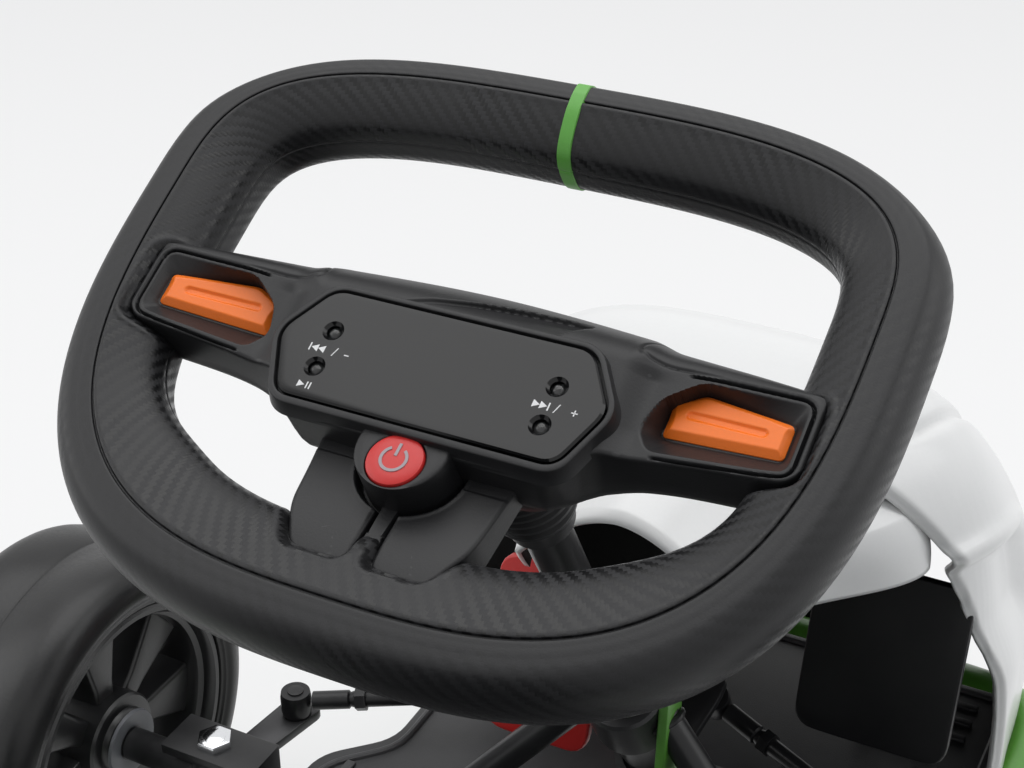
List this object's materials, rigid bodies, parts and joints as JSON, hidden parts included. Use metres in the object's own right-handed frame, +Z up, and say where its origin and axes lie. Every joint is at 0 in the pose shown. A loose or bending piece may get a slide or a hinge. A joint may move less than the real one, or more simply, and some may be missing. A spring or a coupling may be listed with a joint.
{
  "type": "kids electric drift go-kart",
  "caption": "Child's electric drift go-kart: tubular frame, carbon-look steering wheel with display and buttons, pedals, bucket seat, slick wheels.",
  "frame": {"origin": "middle of the kart's footprint, on the ground under the tyres", "axes": "+Z up, +Y towards the rear, so the front faces -Y and the driver's left is +X"},
  "size_m": [0.704, 1.1389, 0.575],
  "materials": {
    "carbon_grip": "satin black grip with a pressed carbon twill",
    "black_plastic": "fine spark-grained black moulding",
    "gloss_black": "gloss black smoked window",
    "orange_plastic": "satin orange moulding",
    "red_plastic": "satin red moulding",
    "green_paint": "gloss green powder coat",
    "white_plastic": "satin white body moulding",
    "dark_deck": "grained dark grey floor",
    "slick_tyre": "smooth slick",
    "bright_steel": "zinc plated",
    "clear_plastic": "clear button caps",
    "board_green": "solder mask"
  },
  "bodies": {
    "chassis": {"chassis_frame": "green_paint", "kingpin_left": "bright_steel", "kingpin_right": "bright_steel", "footwell_deck": "dark_deck", "front_cowl": "white_plastic", "front_bumper": "black_plastic", "rear_bumper": "black_plastic", "rear_axle": "bright_steel", "gearbox_left": "black_plastic", "gearbox_right": "black_plastic", "drive_motor_left": "bright_steel", "drive_motor_right": "bright_steel", "battery_box": "black_plastic", "battery_cells": "dark_deck", "battery_lid": "dark_deck", "seat_rail_left": "bright_steel", "seat_rail_right": "bright_steel", "brake_pedal_bracket": "bright_steel", "drive_pedal_bracket": "bright_steel", "switch_console": "black_plastic"},
    "steering": {"steering_wheel_rim": "carbon_grip", "top_band": "green_paint", "steering_wheel_face": "black_plastic", "display_glass": "gloss_black", "control_board": "board_green", "lower_spoke_left": "black_plastic", "lower_spoke_right": "black_plastic", "steering_wheel_rear_cover": "black_plastic", "column_boot": "black_plastic", "steering_column": "black_plastic", "rim_screw": "black_plastic"},
    "seat": {"seat_shell": "black_plastic"},
    "brake": {"brake_pedal": "red_plastic"},
    "drive": {"drive_pedal": "black_plastic"},
    "rocker": {"direction_rocker": "red_plastic"},
    "power": {"power_button": "red_plastic"},
    "horn_left": {"horn_button_left": "orange_plastic"},
    "upper_left_key": {"upper_left_plunger": "clear_plastic"},
    "lower_left_key": {"lower_left_plunger": "clear_plastic"},
    "knuckle_left": {"steering_knuckle_left": "bright_steel"},
    "tie_rod_left": {"tie_rod_left": "black_plastic"},
    "front_wheel_left": {"front_wheel_left_tyre": "slick_tyre", "front_wheel_left_rim": "black_plastic", "front_wheel_left_axle_nut": "bright_steel"},
    "rear_wheel_left": {"rear_wheel_left_tyre": "slick_tyre", "rear_wheel_left_rim": "black_plastic", "rear_wheel_left_axle_nut": "bright_steel", "drive_gear_left": "bright_steel"},
    "horn_right": {"horn_button_right": "orange_plastic"},
    "upper_right_key": {"upper_right_plunger": "clear_plastic"},
    "lower_right_key": {"lower_right_plunger": "clear_plastic"},
    "knuckle_right": {"steering_knuckle_right": "bright_steel"},
    "tie_rod_right": {"tie_rod_right": "black_plastic"},
    "front_wheel_right": {"front_wheel_right_tyre": "slick_tyre", "front_wheel_right_rim": "black_plastic", "front_wheel_right_axle_nut": "bright_steel"},
    "rear_wheel_right": {"rear_wheel_right_tyre": "slick_tyre", "rear_wheel_right_rim": "black_plastic", "rear_wheel_right_axle_nut": "bright_steel", "drive_gear_right": "bright_steel"}
  },
  "joints": [
    {"name": "steering", "type": "hinge", "parent": "chassis", "child": "steering", "pos_m": [0, -0.12, 0.48], "axis": [0, 0.506, 0.8625], "range_deg": [-39, 39]},
    {"name": "seat_slide", "type": "slide", "parent": "chassis", "child": "seat", "axis": [0, 1, 0], "range_m": [-0.03, 0.03]},
    {"name": "brake_press", "type": "hinge", "parent": "chassis", "child": "brake", "pos_m": [0.058, -0.415, 0.122], "axis": [1, 0, 0], "range_deg": [0, 18], "stiffness_Nm_per_rad": 3, "springref_deg": -8.59},
    {"name": "drive_press", "type": "hinge", "parent": "chassis", "child": "drive", "pos_m": [-0.09, -0.44, 0.122], "axis": [1, 0, 0], "range_deg": [0, 16], "stiffness_Nm_per_rad": 2, "springref_deg": -8.59},
    {"name": "direction_switch", "type": "hinge", "parent": "chassis", "child": "rocker", "pos_m": [-0.23, 0.015, 0.1271], "axis": [1, 0, 0], "range_deg": [-9, 9]},
    {"name": "power_press", "type": "slide", "parent": "steering", "child": "power", "axis": [0, -0.6871, -0.7266], "range_m": [0, 0.0015], "stiffness_N_per_m": 300, "springref_m": -0.001},
    {"name": "horn_left_press", "type": "slide", "parent": "steering", "child": "horn_left", "axis": [0.2504, -0.4899, -0.835], "range_m": [0, 0.0015], "stiffness_N_per_m": 300, "springref_m": -0.001},
    {"name": "upper_left_key_press", "type": "slide", "parent": "steering", "child": "upper_left_key", "axis": [0, -0.506, -0.8625], "range_m": [0, 0.001], "stiffness_N_per_m": 300, "springref_m": -0.001},
    {"name": "lower_left_key_press", "type": "slide", "parent": "steering", "child": "lower_left_key", "axis": [0, -0.506, -0.8625], "range_m": [0, 0.001], "stiffness_N_per_m": 300, "springref_m": -0.001},
    {"name": "kingpin_left", "type": "hinge", "parent": "chassis", "child": "knuckle_left", "pos_m": [0.215, -0.24, 0.105], "axis": [0, 0, 1], "range_deg": [-28.1, 28.1]},
    {"name": "tie_rod_left_pivot", "type": "hinge", "parent": "knuckle_left", "child": "tie_rod_left", "pos_m": [0.203, -0.298, 0.1168], "axis": [0, 0, 1], "range_deg": [-28.1, 28.1]},
    {"name": "front_wheel_left_spin", "type": "hinge", "parent": "knuckle_left", "child": "front_wheel_left", "pos_m": [0.3095, -0.24, 0.105], "axis": [1, 0, 0], "continuous": true},
    {"name": "rear_wheel_left_spin", "type": "hinge", "parent": "chassis", "child": "rear_wheel_left", "pos_m": [0.302, 0.42, 0.115], "axis": [1, 0, 0], "continuous": true},
    {"name": "horn_right_press", "type": "slide", "parent": "steering", "child": "horn_right", "axis": [-0.2504, -0.4899, -0.835], "range_m": [0, 0.0015], "stiffness_N_per_m": 300, "springref_m": -0.001},
    {"name": "upper_right_key_press", "type": "slide", "parent": "steering", "child": "upper_right_key", "axis": [0, -0.506, -0.8625], "range_m": [0, 0.001], "stiffness_N_per_m": 300, "springref_m": -0.001},
    {"name": "lower_right_key_press", "type": "slide", "parent": "steering", "child": "lower_right_key", "axis": [0, -0.506, -0.8625], "range_m": [0, 0.001], "stiffness_N_per_m": 300, "springref_m": -0.001},
    {"name": "kingpin_right", "type": "hinge", "parent": "chassis", "child": "knuckle_right", "pos_m": [-0.215, -0.24, 0.105], "axis": [0, 0, 1], "range_deg": [-28.1, 28.1]},
    {"name": "tie_rod_right_pivot", "type": "hinge", "parent": "knuckle_right", "child": "tie_rod_right", "pos_m": [-0.203, -0.298, 0.1168], "axis": [0, 0, 1], "range_deg": [-28.1, 28.1]},
    {"name": "front_wheel_right_spin", "type": "hinge", "parent": "knuckle_right", "child": "front_wheel_right", "pos_m": [-0.3095, -0.24, 0.105], "axis": [1, 0, 0], "continuous": true},
    {"name": "rear_wheel_right_spin", "type": "hinge", "parent": "chassis", "child": "rear_wheel_right", "pos_m": [-0.302, 0.42, 0.115], "axis": [1, 0, 0], "continuous": true}
  ],
  "couplings": [
    {"joint": "kingpin_left", "follows": "steering", "ratio": 0.7179},
    {"joint": "tie_rod_left_pivot", "follows": "steering", "ratio": -0.7179},
    {"joint": "kingpin_right", "follows": "steering", "ratio": 0.7179},
    {"joint": "tie_rod_right_pivot", "follows": "steering", "ratio": -0.7179}
  ]
}
